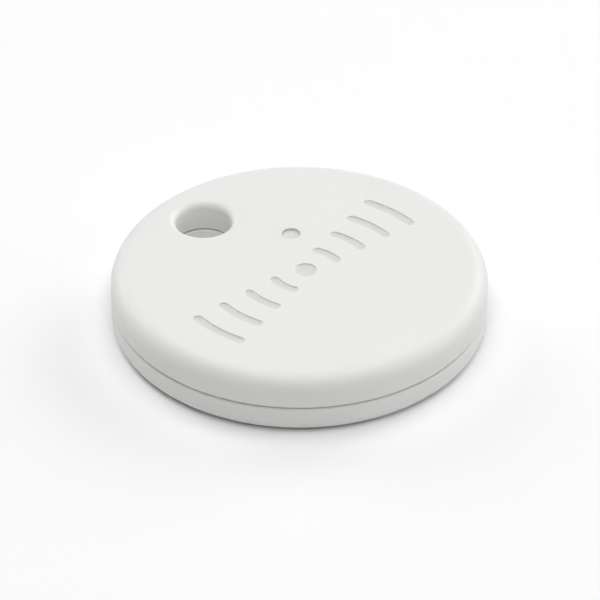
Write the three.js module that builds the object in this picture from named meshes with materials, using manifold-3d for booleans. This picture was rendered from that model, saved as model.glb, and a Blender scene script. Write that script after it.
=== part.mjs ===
// A Bluetooth tracker tag: a round plastic puck with a keyring hole near its edge.
//
// It opens round its side seam. The rear cover holds the circuit board, the coin cell's holder and
// contacts, and a dome switch under the cell, which sits in a floating steel cradle. The front cover
// carries the piezo sounder and lifts off for a battery change. Pressing it moves it, the cell and the
// cradle down onto the switch.
//
// Millimetres, +Z up through the front cover, origin at the middle of the rear face,
// +Y towards the keyring hole.

import * as THREE from "three";
import { mergeVertices } from "three/addons/utils/BufferGeometryUtils.js";
import Module from "manifold-3d";

const wasm = await Module();
wasm.setup();

// ---- Driving dimensions ----

const CASE_RADIUS = 18.95;
const CASE_HEIGHT = 6.4;
const FRONT_EDGE_ROUND = 1.8;
const REAR_EDGE_ROUND = 1.4;
const SEAM_LOW = 2.86; // rear cover's rim
const SEAM_HIGH = 3.12; // front cover's rim
const REAR_RIM_ROUND = 0.3;
const FRONT_THICKNESS = 0.8;
const REAR_THICKNESS = 0.75;
const CAVITY_RADIUS = 17.0;
const SPIGOT_RADIUS = 17.85;
const SPIGOT_TOP = 4.3;
const SKIRT_INNER_RADIUS = 17.9;

const KEY_Y = 12.85; // keyring hole's centre
const KEY_RADIUS = 2.88;
const KEY_FRONT_ROUND = 0.8;
const KEY_REAR_ROUND = 0.45;
const FRONT_COLLAR_RADIUS = 3.75;
const REAR_COLLAR_INNER = 4.2;
const REAR_COLLAR_RADIUS = 4.58;
const REAR_COLLAR_TOP = 4.1;

const CELL_RADIUS = 10; // a 20 mm coin cell
const CELL_HEIGHT = 3.2;
const CELL_Y = -3.1;
const CELL_BASE = 1.8;

const BOARD_RADIUS = 16.5;
const BOARD_THICKNESS = 0.5;
const PLAY = 0.02; // between pieces that rest on each other

const PORT_AT = [3.82, 4.4]; // sound port
const PORT_RADIUS = 0.93;
const PIEZO_AT = [0.85, -1.1];
const PIEZO_RADIUS = 9;
const CERAMIC_RADIUS = 6;

// ---- Levels worked out from them ----

const CEILING = CASE_HEIGHT - FRONT_THICKNESS;
const BOARD_BASE = REAR_THICKNESS + PLAY;
const BOARD_TOP = BOARD_BASE + BOARD_THICKNESS;
const SEAT = BOARD_TOP + PLAY; // where pieces stand on the board
const CELL_TOP = CELL_BASE + CELL_HEIGHT;

// ---- Facets ----

const CASE_FACETS = 64;
const KEY_FACETS = 40;
const CELL_FACETS = 40;
const SMALL_FACETS = 20;
const ARC_STEPS = 4;

const EPSILON = 1e-4; // vertices closer than this are one

// ---- Solids and geometries ----

function toSolid(geometry) {
  const bare = new THREE.BufferGeometry();
  bare.setAttribute("position", geometry.getAttribute("position"));
  bare.setIndex(geometry.index);
  const merged = mergeVertices(bare, EPSILON);
  const vertProperties = merged.getAttribute("position").array;
  const triVerts = new Uint32Array(merged.index.array);
  return new wasm.Manifold(new wasm.Mesh({ numProp: 3, vertProperties, triVerts }));
}

function toGeometry(solid) {
  const mesh = solid.getMesh();
  const geometry = new THREE.BufferGeometry();
  geometry.setAttribute("position", new THREE.BufferAttribute(mesh.vertProperties, 3));
  geometry.setIndex(new THREE.BufferAttribute(mesh.triVerts, 1));
  geometry.computeVertexNormals();
  return geometry;
}

// The first geometry with the others added or cut away.
function join(first, ...others) {
  return toGeometry(others.reduce((solid, other) => solid.add(toSolid(other)), toSolid(first)));
}

function cut(first, ...others) {
  return toGeometry(others.reduce((solid, other) => solid.subtract(toSolid(other)), toSolid(first)));
}

// Points of an arc in a profile, angles in degrees.
function arc(x, y, radius, from, to, steps = ARC_STEPS) {
  return Array.from({ length: steps + 1 }, (_, i) => {
    const angle = THREE.MathUtils.degToRad(from + ((to - from) * i) / steps);
    return [x + radius * Math.cos(angle), y + radius * Math.sin(angle)];
  });
}

// A profile of [radius, height] points, outside going upwards, turned about a vertical axis.
function turned(profile, facets, x = 0, y = 0) {
  const points = profile.map(([radius, height]) => new THREE.Vector2(radius, height));
  const geometry = new THREE.LatheGeometry(points, facets);
  geometry.rotateX(Math.PI / 2);
  geometry.translate(x, y, 0);
  return geometry;
}

function cylinder(radius, low, high, facets, x = 0, y = 0) {
  return turned([[0, low], [radius, low], [radius, high], [0, high]], facets, x, y);
}

function ring(inner, outer, low, high, facets, x = 0, y = 0) {
  const section = [[inner, low], [outer, low], [outer, high], [inner, high], [inner, low]];
  return turned(section, facets, x, y);
}

// A block between two corners.
function block([x0, y0, z0], [x1, y1, z1]) {
  const geometry = new THREE.BoxGeometry(x1 - x0, y1 - y0, z1 - z0);
  geometry.translate((x0 + x1) / 2, (y0 + y1) / 2, (z0 + z1) / 2);
  return geometry;
}

// A block from one radius to another in a direction given in degrees, about (0, y).
function radialBlock(degrees, inner, outer, width, low, high, y = 0) {
  const geometry = block([inner, -width / 2, low], [outer, width / 2, high]);
  geometry.rotateZ(THREE.MathUtils.degToRad(degrees));
  geometry.translate(0, y, 0);
  return geometry;
}

// A flat outline raised from one level to another.
function raised(shape, low, high, curveSegments = 12) {
  const options = { depth: high - low, bevelEnabled: false, curveSegments };
  const geometry = new THREE.ExtrudeGeometry(shape, options);
  geometry.translate(0, 0, low);
  return geometry;
}

// A bent strip of sheet: a smooth line of [distance, height] points with a thickness and a width.
// It runs outwards along +X, and lies across Y.
function strip(line, thickness, width, steps = 16) {
  const curve = new THREE.CatmullRomCurve3(line.map(([x, z]) => new THREE.Vector3(x, z, 0)));
  const edge = (side) => Array.from({ length: steps + 1 }, (_, i) => {
    const point = curve.getPoint(i / steps);
    const tangent = curve.getTangent(i / steps);
    const x = point.x - (tangent.y * side * thickness) / 2;
    return new THREE.Vector2(x, point.y + (tangent.x * side * thickness) / 2);
  });
  const outline = [...edge(-1), ...edge(1).reverse()];
  const geometry = raised(new THREE.Shape(outline), -width / 2, width / 2);
  geometry.rotateX(Math.PI / 2);
  return geometry;
}

function turnedTo(geometry, degrees, x = 0, y = 0) {
  geometry.rotateZ(THREE.MathUtils.degToRad(degrees));
  geometry.translate(x, y, 0);
  return geometry;
}

// ---- Covers ----

const HOOK_ANGLES = [15, 165, 232, 308]; // the front cover's clips
const STAKES = [[-14.9, 4.6], [14.9, 4.6], [-5, -14.6]]; // posts that hold the board
const STAKE_RADIUS = 0.6;
const STAKE_HEAD_RADIUS = 1.05;
const STAKE_HEAD_HEIGHT = 0.28;
const SEAL_GROOVE = { low: 3.5, high: 4.0, radius: 17.45 };
const HOOK = { inner: 16.3, outer: 16.9, barb: 17.12, width: 3, low: 3.3, barbTop: 3.7 };
const PRY_NOTCH = { width: 5, height: 0.55, depth: 0.8 };
const PRESS_RIBS = [205, 270, 335]; // where the front cover bears on the cell

// The keyring hole's space, flared at both faces.
function keyHole() {
  const flareFront = KEY_RADIUS + KEY_FRONT_ROUND;
  const flareRear = KEY_RADIUS + KEY_REAR_ROUND;
  const profile = [
    [0, -1],
    [flareRear, -1],
    ...arc(flareRear, KEY_REAR_ROUND, KEY_REAR_ROUND, 270, 180),
    ...arc(flareFront, CASE_HEIGHT - KEY_FRONT_ROUND, KEY_FRONT_ROUND, 180, 90),
    [flareFront, CASE_HEIGHT + 1],
    [0, CASE_HEIGHT + 1],
  ];
  return turned(profile, KEY_FACETS, 0, KEY_Y);
}

function rearCover() {
  const lip = 0.2;
  const corner = 0.4;
  const shell = turned([
    [0, 0],
    ...arc(CASE_RADIUS - REAR_EDGE_ROUND, REAR_EDGE_ROUND, REAR_EDGE_ROUND, 270, 360),
    ...arc(CASE_RADIUS - REAR_RIM_ROUND, SEAM_LOW - REAR_RIM_ROUND, REAR_RIM_ROUND, 0, 90, 3),
    [SPIGOT_RADIUS, SEAM_LOW],
    [SPIGOT_RADIUS, SEAL_GROOVE.low],
    [SEAL_GROOVE.radius, SEAL_GROOVE.low],
    [SEAL_GROOVE.radius, SEAL_GROOVE.high],
    [SPIGOT_RADIUS, SEAL_GROOVE.high],
    [SPIGOT_RADIUS, SPIGOT_TOP - lip],
    [SPIGOT_RADIUS - lip, SPIGOT_TOP],
    [CAVITY_RADIUS, SPIGOT_TOP],
    ...arc(CAVITY_RADIUS - corner, REAR_THICKNESS + corner, corner, 0, -90, 2),
    [0, REAR_THICKNESS],
  ], CASE_FACETS);
  const collar = turned([
    [0, REAR_THICKNESS / 2],
    [REAR_COLLAR_RADIUS, REAR_THICKNESS / 2],
    [REAR_COLLAR_RADIUS, REAR_COLLAR_TOP],
    [REAR_COLLAR_INNER, REAR_COLLAR_TOP],
    [REAR_COLLAR_INNER, SEAM_LOW],
    [0, SEAM_LOW],
  ], KEY_FACETS, 0, KEY_Y);
  const stakes = STAKES.map(([x, y]) => turned([
    [0, REAR_THICKNESS / 2],
    [STAKE_RADIUS, REAR_THICKNESS / 2],
    [STAKE_RADIUS, SEAT],
    [STAKE_HEAD_RADIUS, SEAT],
    [STAKE_HEAD_RADIUS, SEAT + STAKE_HEAD_HEIGHT / 2],
    [STAKE_RADIUS, SEAT + STAKE_HEAD_HEIGHT],
    [0, SEAT + STAKE_HEAD_HEIGHT],
  ], SMALL_FACETS, x, y));
  const channels = HOOK_ANGLES.map((degrees) => radialBlock(
    degrees, CAVITY_RADIUS - 1, HOOK.barb + 0.08, HOOK.width + 0.5, HOOK.low - 0.25, SPIGOT_TOP + 1,
  ));
  const notch = radialBlock(
    90, CASE_RADIUS - PRY_NOTCH.depth, CASE_RADIUS + 1, PRY_NOTCH.width,
    SEAM_LOW - PRY_NOTCH.height, SEAM_LOW + 0.1,
  );
  return cut(join(shell, collar, ...stakes), keyHole(), notch, ...channels);
}

// A dot between rows of curved bars, each bar longer than the one inside it.
const EMBLEM = {
  y: -0.8,
  depth: 0.22,
  dot: 1.1,
  stroke: 0.95,
  first: 3.5, // innermost bars' radius
  pitch: 3.3,
  bars: 4,
  shortest: 3.4,
};

// One curved bar, with round ends.
function emblemArc(radius, stroke, halfAngle, facing) {
  const shape = new THREE.Shape();
  const tip = [radius * Math.cos(halfAngle), radius * Math.sin(halfAngle)];
  shape.absarc(0, 0, radius + stroke / 2, -halfAngle, halfAngle, false);
  shape.absarc(tip[0], tip[1], stroke / 2, halfAngle, halfAngle + Math.PI, false);
  shape.absarc(0, 0, radius - stroke / 2, halfAngle, -halfAngle, true);
  shape.absarc(tip[0], -tip[1], stroke / 2, Math.PI - halfAngle, 2 * Math.PI - halfAngle, false);
  return turnedTo(raised(shape, CASE_HEIGHT - EMBLEM.depth, CASE_HEIGHT + 1, 3), facing, 0, EMBLEM.y);
}

// The sign sunk into the front face, which stands for a sound or radio call.
function emblem() {
  const dot = cylinder(EMBLEM.dot, CASE_HEIGHT - EMBLEM.depth, CASE_HEIGHT + 1, SMALL_FACETS, 0, EMBLEM.y);
  const bars = Array.from({ length: EMBLEM.bars }, (_, i) => {
    const radius = EMBLEM.first + i * EMBLEM.pitch;
    const length = EMBLEM.shortest + i;
    const halfAngle = Math.asin((length - EMBLEM.stroke) / 2 / radius);
    return [0, 180].map((facing) => emblemArc(radius, EMBLEM.stroke, halfAngle, facing));
  });
  return [dot, ...bars.flat()];
}

const VENT = { pocketRadius: 1.7, radius: 1.62, web: 0.23, membrane: 0.13, gasketInner: 1.0 };
const CHAMBER_RING = { inner: 8.0, outer: 8.9, low: CEILING - 0.12 };
const FLEX = { low: 5.1, high: 5.18, pads: { x0: 10.9, x1: 13.6, y0: -5.9, y1: -0.1 } };

function frontCover() {
  const lip = 0.08;
  const corner = 0.5;
  const shell = turned([
    [0, CEILING],
    ...arc(SKIRT_INNER_RADIUS - corner, CEILING - corner, corner, 90, 0, 3),
    [SKIRT_INNER_RADIUS, SEAM_HIGH + 2 * lip],
    [SKIRT_INNER_RADIUS + lip, SEAM_HIGH],
    [CASE_RADIUS - lip, SEAM_HIGH],
    [CASE_RADIUS, SEAM_HIGH + lip],
    ...arc(CASE_RADIUS - FRONT_EDGE_ROUND, CASE_HEIGHT - FRONT_EDGE_ROUND, FRONT_EDGE_ROUND, 0, 90, 6),
    [0, CASE_HEIGHT],
  ], CASE_FACETS);
  const middle = CASE_HEIGHT - FRONT_THICKNESS / 2;
  const collar = cylinder(FRONT_COLLAR_RADIUS, SEAM_HIGH, middle, KEY_FACETS, 0, KEY_Y);
  const chamber = ring(
    CHAMBER_RING.inner, CHAMBER_RING.outer, CHAMBER_RING.low, middle, CELL_FACETS, ...PIEZO_AT,
  );
  const ribs = PRESS_RIBS.map((degrees) => radialBlock(
    degrees, 9.1, 9.9, 2.6, CELL_TOP + PLAY, middle, CELL_Y,
  ));
  const hooks = HOOK_ANGLES.flatMap((degrees) => [
    radialBlock(degrees, HOOK.inner, HOOK.outer, HOOK.width, HOOK.low, middle),
    radialBlock(degrees, HOOK.outer - 0.1, HOOK.barb, HOOK.width, HOOK.low, HOOK.barbTop),
  ]);
  const { x0, x1, y0, y1 } = FLEX.pads;
  const padBoss = block([x0, y0, FLEX.high + PLAY], [x1, y1, middle]);
  const port = cylinder(PORT_RADIUS, CEILING - 1, CASE_HEIGHT + 1, SMALL_FACETS, ...PORT_AT);
  const pocket = cylinder(VENT.pocketRadius, CEILING - 1, CASE_HEIGHT - VENT.web, SMALL_FACETS, ...PORT_AT);
  return cut(join(shell, collar, chamber, padBoss, ...ribs, ...hooks), keyHole(), port, pocket, ...emblem());
}

// ---- Seals, vent and sounder ----

function sealRing(radius, section, height, facets, y = 0) {
  const geometry = new THREE.TorusGeometry(radius, section, 6, facets);
  geometry.translate(0, y, height);
  return geometry;
}

function perimeterSeal() {
  const radius = (SEAL_GROOVE.radius + SPIGOT_RADIUS) / 2 + 0.02;
  return sealRing(radius, 0.195, (SEAL_GROOVE.low + SEAL_GROOVE.high) / 2, CASE_FACETS);
}

function keyHoleSeal() {
  const radius = (FRONT_COLLAR_RADIUS + REAR_COLLAR_INNER) / 2;
  return sealRing(radius, 0.21, SEAM_LOW + 0.23, KEY_FACETS, KEY_Y);
}

function ventMembrane() {
  const top = CASE_HEIGHT - VENT.web - PLAY;
  return cylinder(VENT.radius, top - VENT.membrane, top, SMALL_FACETS, ...PORT_AT);
}

function ventGasket() {
  const top = CASE_HEIGHT - VENT.web - VENT.membrane - 2 * PLAY;
  return ring(VENT.gasketInner, VENT.radius, CEILING + PLAY, top, SMALL_FACETS, ...PORT_AT);
}

const PLATE = { high: CHAMBER_RING.low - 0.01, thickness: 0.15 };
const CERAMIC_THICKNESS = 0.12;

function piezoPlate() {
  return cylinder(PIEZO_RADIUS, PLATE.high - PLATE.thickness, PLATE.high, CELL_FACETS, ...PIEZO_AT);
}

function piezoCeramic() {
  const high = PLATE.high - PLATE.thickness - 0.01;
  return cylinder(CERAMIC_RADIUS, high - CERAMIC_THICKNESS, high, CELL_FACETS, ...PIEZO_AT);
}

// The flexible circuit from the ceramic to the pads that the buzzer springs touch.
function piezoFlex() {
  const { x0, x1, y0, y1 } = FLEX.pads;
  const neck = block([5.6, -3.9, FLEX.low], [x0 + 0.5, -2.1, FLEX.high]);
  const pads = block([x0 + 0.1, y0 + 0.1, FLEX.low], [x1 - 0.1, y1 - 0.1, FLEX.high]);
  return join(neck, pads);
}

// ---- Board, holder, contacts and switch ----

function circuitBoard() {
  const board = cylinder(BOARD_RADIUS, BOARD_BASE, BOARD_TOP, CASE_FACETS);
  const collarBite = cylinder(REAR_COLLAR_RADIUS + 0.2, 0, 3, KEY_FACETS, 0, KEY_Y);
  const holes = STAKES.map(([x, y]) => cylinder(STAKE_RADIUS + 0.1, 0, 3, SMALL_FACETS, x, y));
  return cut(board, collarBite, ...holes);
}

const HOLDER = { inner: CELL_RADIUS + 0.5, outer: CELL_RADIUS + 1, top: 3.3, guideTop: 3.9 };
const WINDOW_WIDTH = 5; // where the positive contact reaches in
const SPRINGS_AT = [[12.2, -4.6], [12.2, -1.4]];
const SPRING = { radius: 0.55, wire: 0.11, turns: 5, low: SEAT + 0.02, high: FLEX.low - 0.02 };

function batteryHolder() {
  const wall = ring(HOLDER.inner, HOLDER.outer, SEAT, HOLDER.top, CELL_FACETS, 0, CELL_Y);
  const guides = SPRINGS_AT.map(([x, y]) => cylinder(1.2, SEAT, HOLDER.guideTop, SMALL_FACETS, x, y));
  const web = block([HOLDER.outer - 0.3, -5.4, SEAT], [12.2, -0.6, 2.4]);
  const cellRoom = cylinder(HOLDER.inner, 0, 6, CELL_FACETS, 0, CELL_Y);
  const bores = SPRINGS_AT.map(([x, y]) => cylinder(0.8, 0, 6, SMALL_FACETS, x, y));
  const contactWindow = radialBlock(270, 9, 12, WINDOW_WIDTH, 1.85, 6, CELL_Y);
  const fingerGaps = [135, 225].map((degrees) => radialBlock(degrees, 9, 12, 5, 2.2, 6, CELL_Y));
  return cut(join(wall, web, ...guides), cellRoom, contactWindow, ...bores, ...fingerGaps);
}

// A leaf that bows in against the cradle's wall, on a foot soldered to the board.
function positiveContact() {
  const sheet = 0.15;
  const foot = SEAT + sheet / 2;
  const line = [
    [11.3, foot], [12.1, foot], [12.8, foot + 0.03], [13.2, 1.8], [13.15, 2.5], [12.6, 3.05],
    [11.7, 3.25], [10.95, 3.1], [10.45, 2.65], [10.6, 2.15],
  ];
  return turnedTo(strip(line, sheet, 3.6, 24), 270, 0, CELL_Y);
}

// A ring round the switch with three fingers that press up on the cell's cap.
function negativeContact() {
  const sheet = 0.1;
  const base = ring(4.3, 5.5, SEAT, SEAT + sheet, CELL_FACETS, 0, CELL_Y);
  const middle = SEAT + sheet / 2;
  const tip = CELL_BASE - 0.02 - sheet / 2;
  const line = [[5.2, middle], [6, middle], [7.2, tip - 0.06], [7.9, tip], [8.4, tip - 0.1]];
  const fingers = [90, 210, 330].map((degrees) => turnedTo(strip(line, sheet, 1.6, 8), degrees, 0, CELL_Y));
  const tabs = [30, 150, 270].map((degrees) => radialBlock(
    degrees, 5.3, 6.8, 1.8, SEAT, SEAT + sheet, CELL_Y,
  ));
  return join(base, ...fingers, ...tabs);
}

const DOME = { radius: 2, rise: 0.26, sheet: 0.06 };

function switchDome() {
  const crown = (DOME.radius ** 2 + DOME.rise ** 2) / (2 * DOME.rise); // sphere that the dome is cut from
  const half = THREE.MathUtils.radToDeg(Math.asin(DOME.radius / crown));
  const centre = SEAT + DOME.rise - crown;
  const outer = arc(0, centre, crown, 90 - half, 90, 6);
  const inner = arc(0, centre - DOME.sheet, crown, 90, 90 - half, 6);
  const clear = inner.map(([radius, height]) => [radius * 0.985, Math.max(height, SEAT)]);
  return turned([...clear.slice(0, -1), [DOME.radius * 0.98, SEAT], ...outer], SMALL_FACETS, 0, CELL_Y);
}

function domeFilm() {
  return ring(DOME.radius + 0.1, 3.9, SEAT, SEAT + 0.05, SMALL_FACETS, 0, CELL_Y);
}

// The steel cradle that the cell sits in: a wall with a flange, and three spokes to a nub on the dome.
const CRADLE = { inner: CELL_RADIUS + 0.1, outer: CELL_RADIUS + 0.3, flange: CELL_RADIUS + 0.9 };
const SPOKE_ANGLES = [30, 150, 270];
const SPOKE_WIDTH = 3;
const HUB_RADIUS = 3.4;

function cellCradle() {
  const floor = SEAT + DOME.rise + 0.07;
  const floorTop = floor + 0.1;
  const top = 3.7;
  const flangeBase = top - 0.2;
  const wall = turned([
    [CRADLE.inner - 1.2, floor],
    [CRADLE.outer, floor],
    [CRADLE.outer, flangeBase],
    [CRADLE.flange, flangeBase],
    [CRADLE.flange, top],
    [CRADLE.inner, top],
    [CRADLE.inner, floorTop],
    [CRADLE.inner - 1.2, floorTop],
    [CRADLE.inner - 1.2, floor],
  ], CELL_FACETS, 0, CELL_Y);
  const hub = cylinder(HUB_RADIUS, floor, floorTop, SMALL_FACETS, 0, CELL_Y);
  const nub = cylinder(0.7, SEAT + DOME.rise + PLAY, floorTop, SMALL_FACETS, 0, CELL_Y);
  const spokes = SPOKE_ANGLES.map((degrees) => radialBlock(
    degrees, 2, CRADLE.inner - 0.5, SPOKE_WIDTH, floor, floorTop, CELL_Y,
  ));
  const window = radialBlock(270, CRADLE.outer, 12, WINDOW_WIDTH, flangeBase - 0.1, 6, CELL_Y);
  return cut(join(wall, hub, nub, ...spokes), window);
}

// The film that keeps the cell's negative cap off the steel hub and spokes.
function insulatingFilm() {
  const low = SEAT + DOME.rise + 0.18;
  const high = CELL_BASE - PLAY;
  const hub = cylinder(HUB_RADIUS + 0.3, low, high, SMALL_FACETS, 0, CELL_Y);
  const spokes = SPOKE_ANGLES.map((degrees) => radialBlock(
    degrees, 2, 8.8, SPOKE_WIDTH + 0.4, low, high, CELL_Y,
  ));
  return join(hub, ...spokes);
}

// A coil spring that stands on the board and touches the flex.
class Helix extends THREE.Curve {
  getPoint(t) {
    const angle = 2 * Math.PI * SPRING.turns * t;
    const rise = SPRING.high - SPRING.low - 2 * SPRING.wire;
    const z = SPRING.low + SPRING.wire + rise * t;
    return new THREE.Vector3(SPRING.radius * Math.cos(angle), SPRING.radius * Math.sin(angle), z);
  }
}

function buzzerSpring([x, y]) {
  const section = new THREE.Shape();
  section.absarc(0, 0, SPRING.wire, 0, 2 * Math.PI);
  const options = { steps: 10 * SPRING.turns, extrudePath: new Helix(), curveSegments: 2 };
  const geometry = new THREE.ExtrudeGeometry(section, options);
  geometry.translate(x, y, 0);
  return geometry;
}

// ---- Coin cell, in its own group: z = 0 at the cap's flat face ----

const CAN = { wall: 0.25, edge: 0.35, rimLow: 0.3, lipInner: 9.15 };

// The positive can: its flat face up, its wall crimped in round the cap at the bottom.
function cellCan() {
  const inside = CELL_RADIUS - CAN.wall;
  return turned([
    [0, CELL_HEIGHT - CAN.wall],
    [inside, CELL_HEIGHT - CAN.wall],
    [inside, CAN.rimLow + 0.55],
    [CAN.lipInner, CAN.rimLow + 0.25],
    [CAN.lipInner, CAN.rimLow],
    ...arc(CELL_RADIUS - 0.5, CAN.rimLow + 0.5, 0.5, 270, 360, 3),
    ...arc(CELL_RADIUS - CAN.edge, CELL_HEIGHT - CAN.edge, CAN.edge, 0, 90, 3),
    [0, CELL_HEIGHT],
  ], CELL_FACETS);
}

// The negative cap: a shallow dish, flat face down.
function cellCap() {
  return turned([
    [0, 0],
    [8.3, 0],
    [8.6, 0.12],
    [8.75, 0.6],
    [8.75, 2.1],
    [8.55, 2.1],
    [8.55, 0.7],
    [8.2, 0.25],
    [0, 0.25],
  ], CELL_FACETS);
}

function cellGasket() {
  return turned([
    [8.8, 0.24],
    [9.1, 0.24],
    [9.1, 0.62],
    [9.7, 0.95],
    [9.7, 2.3],
    [8.8, 2.3],
    [8.8, 0.24],
  ], CELL_FACETS);
}

// ---- Small electronic parts, each about its own middle with its base at z = 0 ----

function chipBody(length, width, height) {
  const bevel = 0.12;
  const foot = block([-length / 2, -width / 2, 0], [length / 2, width / 2, height - bevel]);
  const x = length / 2 - bevel;
  const y = width / 2 - bevel;
  return join(foot, block([-x, -y, height / 2], [x, y, height]));
}

function crystalCan(length, width, height) {
  const flange = 0.15;
  const foot = block([-length / 2, -width / 2, 0], [length / 2, width / 2, height * 0.4]);
  const x = length / 2 - flange;
  const y = width / 2 - flange;
  return join(foot, block([-x, -y, 0.1], [x, y, height]));
}

function inductorDrum(size, height) {
  const half = size / 2;
  const base = block([-half, -half, 0], [half, half, height * 0.25]);
  const core = cylinder(half * 0.72, 0.1, height - 0.1, SMALL_FACETS);
  const top = cylinder(half, height * 0.75, height, SMALL_FACETS);
  return join(base, core, top);
}

// A body with three short legs down each long side.
function leggedChip(length, width, height) {
  const body = block([-length / 2, -width / 2, 0.1], [length / 2, width / 2, height]);
  const legs = [-0.95, 0, 0.95].flatMap((x) => [-1, 1].map((side) => {
    const inner = side * (width / 2 - 0.1);
    const outer = side * (width / 2 + 0.6);
    const [y0, y1] = [Math.min(inner, outer), Math.max(inner, outer)];
    return block([x - 0.2, y0, 0], [x + 0.2, y1, 0.25]);
  }));
  return join(body, ...legs);
}

// Two end terminals a little proud of the body between them.
function endCapped(length, width, height) {
  const cap = length * 0.22;
  const skin = 0.03;
  const ends = [-1, 1].map((side) => {
    const [x0, x1] = [side * (length / 2), side * (length / 2 - cap)].sort((a, b) => a - b);
    return block([x0, -width / 2, 0], [x1, width / 2, height]);
  });
  const half = width / 2 - skin;
  const middle = block([-length / 2 + skin, -half, skin], [length / 2 - skin, half, height - skin]);
  return join(middle, ...ends);
}

// ---- Materials ----

const COLOURS = {
  shell: [0xededea, 0.5, 0],
  seal: [0x3a3c3e, 0.7, 0],
  holder: [0x25272a, 0.55, 0],
  board: [0x14513a, 0.45, 0],
  steel: [0xc9cbcc, 0.28, 1],
  goldPlate: [0xd8b062, 0.3, 1],
  springSteel: [0xbfc0c0, 0.3, 1],
  brass: [0xcaa45a, 0.35, 1],
  ceramic: [0xd9d6cf, 0.45, 0],
  polyimide: [0xb5651d, 0.4, 0],
  membrane: [0xe2e2df, 0.8, 0],
  foam: [0x4a4a4c, 0.9, 0],
  gasket: [0x8a8d90, 0.6, 0],
  manganese: [0x1d1d1f, 0.9, 0],
  lithium: [0xb4b6ba, 0.5, 1],
  separator: [0xf3f3f0, 0.9, 0],
  epoxy: [0x1b1c1e, 0.5, 0],
  antennaCeramic: [0xe9e6dc, 0.5, 0],
  capacitor: [0xb39a78, 0.5, 0],
  tantalum: [0xc9a13b, 0.5, 0],
  ferrite: [0x3b3d41, 0.6, 0],
};

function named(name, geometry, colour) {
  const [color, roughness, metalness] = COLOURS[colour];
  const mesh = new THREE.Mesh(geometry, new THREE.MeshStandardMaterial({ color, roughness, metalness }));
  mesh.name = name;
  return mesh;
}

// ---- Assemblies ----

function rearHalf() {
  const group = new THREE.Group();
  group.add(named("rear_cover", rearCover(), "shell"));
  group.add(named("perimeter_seal", perimeterSeal(), "seal"));
  group.add(named("keyring_hole_seal", keyHoleSeal(), "seal"));
  group.add(named("circuit_board", circuitBoard(), "board"));
  group.add(named("battery_holder", batteryHolder(), "holder"));
  group.add(named("positive_contact", positiveContact(), "springSteel"));
  group.add(named("negative_contact", negativeContact(), "springSteel"));
  group.add(named("switch_dome", switchDome(), "goldPlate"));
  group.add(named("dome_film", domeFilm(), "polyimide"));
  SPRINGS_AT.forEach((at, i) => group.add(named(`buzzer_spring_${i + 1}`, buzzerSpring(at), "goldPlate")));
  return group;
}

function cradle() {
  const group = new THREE.Group();
  group.add(named("cell_cradle", cellCradle(), "steel"));
  group.add(named("insulating_film", insulatingFilm(), "polyimide"));
  return group;
}

function placed(mesh, [x, y], degrees) {
  mesh.position.set(x, y, SEAT);
  mesh.rotation.z = THREE.MathUtils.degToRad(degrees);
  return mesh;
}

// A point at a distance and direction from the cell's centre.
function aroundCell(radius, degrees) {
  const angle = THREE.MathUtils.degToRad(degrees);
  return [radius * Math.cos(angle), CELL_Y + radius * Math.sin(angle)];
}

function boardParts() {
  const group = new THREE.Group();
  const add = (name, geometry, colour, at, degrees) => {
    group.add(placed(named(name, geometry, colour), at, degrees));
  };
  add("radio_chip", chipBody(5, 5, 0.85), "epoxy", [8.9, 9.0], 53);
  add("antenna_chip", endCapped(3.2, 1.6, 1.1), "antennaCeramic", [-9.8, 11.5], 40.4);
  add("main_crystal", crystalCan(2.0, 1.6, 0.5), "steel", [12.6, 6.3], 40);
  add("clock_crystal", crystalCan(3.2, 1.5, 0.8), "steel", aroundCell(12.3, 29), 119);
  add("buzzer_driver", leggedChip(2.9, 1.6, 1.1), "epoxy", [-13.2, -2.2], 90);
  add("boost_inductor", inductorDrum(3.2, 1.6), "ferrite", aroundCell(13.1, 203), 23);
  add("bulk_capacitor", endCapped(3.5, 2.8, 1.5), "tantalum", aroundCell(12.9, 334), 64);
  [44, 50, 56, 62].forEach((degrees, i) => {
    const name = `capacitor_${i + 1}`;
    add(name, endCapped(1.0, 0.5, 0.5), "capacitor", aroundCell(11.5, degrees), degrees + 90);
  });
  [143, 150, 157, 164].forEach((degrees, i) => {
    const name = `resistor_${i + 1}`;
    add(name, endCapped(1.0, 0.5, 0.35), "epoxy", aroundCell(12.3, degrees), degrees);
  });
  [0, 1, 2].forEach((i) => {
    const at = [-7.0 - 0.75 * i, 10.6 - 0.65 * i];
    add(`antenna_matching_${i + 1}`, endCapped(1.0, 0.5, 0.5), "capacitor", at, 130);
  });
  return group;
}

function coinCell() {
  const group = new THREE.Group();
  group.position.set(0, CELL_Y, CELL_BASE);
  group.add(named("cell_can", cellCan(), "steel"));
  group.add(named("cell_cap", cellCap(), "steel"));
  group.add(named("cell_gasket", cellGasket(), "gasket"));
  group.add(named("cell_anode", cylinder(8, 0.28, 0.95, CELL_FACETS), "lithium"));
  group.add(named("cell_separator", cylinder(8.4, 1.0, 1.1, CELL_FACETS), "separator"));
  group.add(named("cell_cathode", cylinder(8.1, 1.15, 2.9, CELL_FACETS), "manganese"));
  return group;
}

function frontHalf() {
  const group = new THREE.Group();
  group.add(named("front_cover", frontCover(), "shell"));
  group.add(named("vent_membrane", ventMembrane(), "membrane"));
  group.add(named("vent_gasket", ventGasket(), "foam"));
  group.add(named("piezo_plate", piezoPlate(), "brass"));
  group.add(named("piezo_ceramic", piezoCeramic(), "ceramic"));
  group.add(named("piezo_flex", piezoFlex(), "polyimide"));
  return group;
}

const tag = new THREE.Group();
tag.add(rearHalf(), boardParts(), cradle(), coinCell(), frontHalf());

export default tag;
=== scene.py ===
"""Looks of a round Bluetooth tracker tag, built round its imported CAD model. Blender 4.5.

Shapes are made in millimetres, in the CAD model's frame, and each finished piece is scaled to metres.
"""

import itertools
import math
import random

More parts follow.
